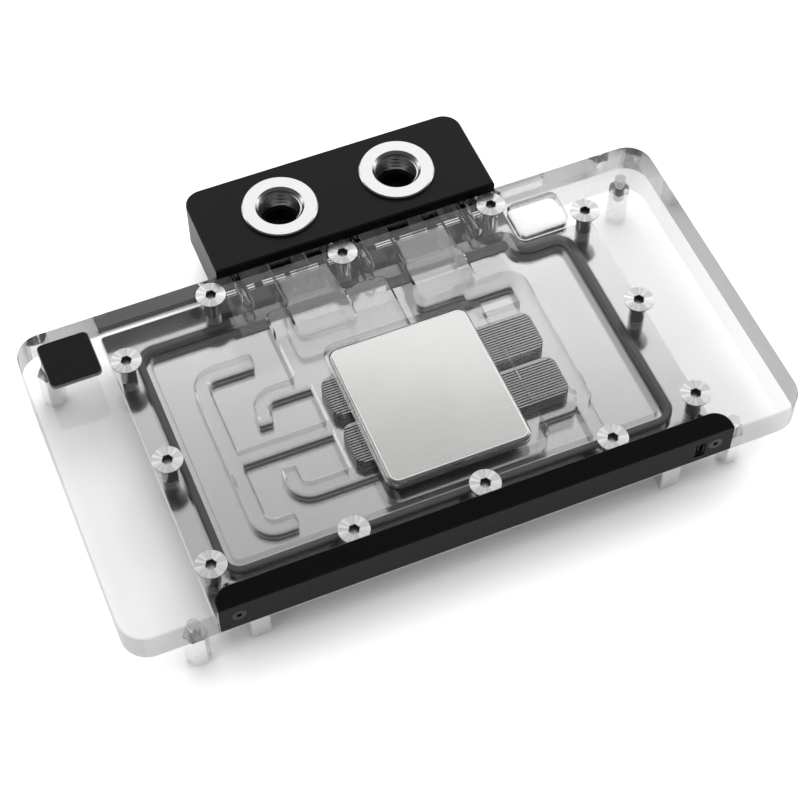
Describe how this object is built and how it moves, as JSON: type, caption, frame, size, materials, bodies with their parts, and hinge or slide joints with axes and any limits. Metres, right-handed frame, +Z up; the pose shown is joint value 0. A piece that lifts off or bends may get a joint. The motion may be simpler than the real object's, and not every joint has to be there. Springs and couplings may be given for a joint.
{
  "type": "liquid cooling cold plate",
  "caption": "Full-cover liquid cooling plate for a graphics card: clear channelled cover on a nickel-plated copper plate, with a black port terminal and a light bar.",
  "frame": {"origin": "centre of the copper face that touches the processor", "axes": "+Z up through the clear cover, +X along its long side with the badge at -X, +Y towards the port terminal"},
  "size_m": [0.18, 0.1224, 0.0254],
  "materials": {
    "clear_acrylic": "clear polished acrylic, milled from below",
    "nickel_plate": "nickel-plated copper",
    "flow_steel": "ground and rounded",
    "o_ring_rubber": "black rubber",
    "terminal_black": "black acetal, fine satin",
    "port_silver": "satin silver plating",
    "duct_seal_rubber": "black rubber",
    "bar_black": "black anodised aluminium",
    "strip_board": "white circuit board",
    "diode_white": "white diodes",
    "socket_black": "black connector",
    "badge_black": "black anodised with a bright bevel",
    "cover_screw_steel": "nickel-plated steel",
    "terminal_screw_steel": "polished steel",
    "bar_screw_steel": "black screws",
    "standoff_nickel": "nickel-plated brass"
  },
  "bodies": {
    "root": {"clear_cover": "clear_acrylic", "cold_plate": "nickel_plate", "flow_plate": "flow_steel", "perimeter_o_ring": "o_ring_rubber", "terminal_block": "terminal_black", "inlet_port_ring": "port_silver", "outlet_port_ring": "port_silver", "inlet_seal": "duct_seal_rubber", "outlet_seal": "duct_seal_rubber", "light_bar_cover": "bar_black", "led_strip": "strip_board", "led_diodes": "diode_white", "led_socket": "socket_black", "badge": "badge_black", "cover_screws": "cover_screw_steel", "terminal_screws": "terminal_screw_steel", "light_bar_screws": "bar_screw_steel", "standoff_back_left": "standoff_nickel", "standoff_back_right": "standoff_nickel", "standoff_front_left": "standoff_nickel", "standoff_front_right": "standoff_nickel"}
  },
  "joints": []
}
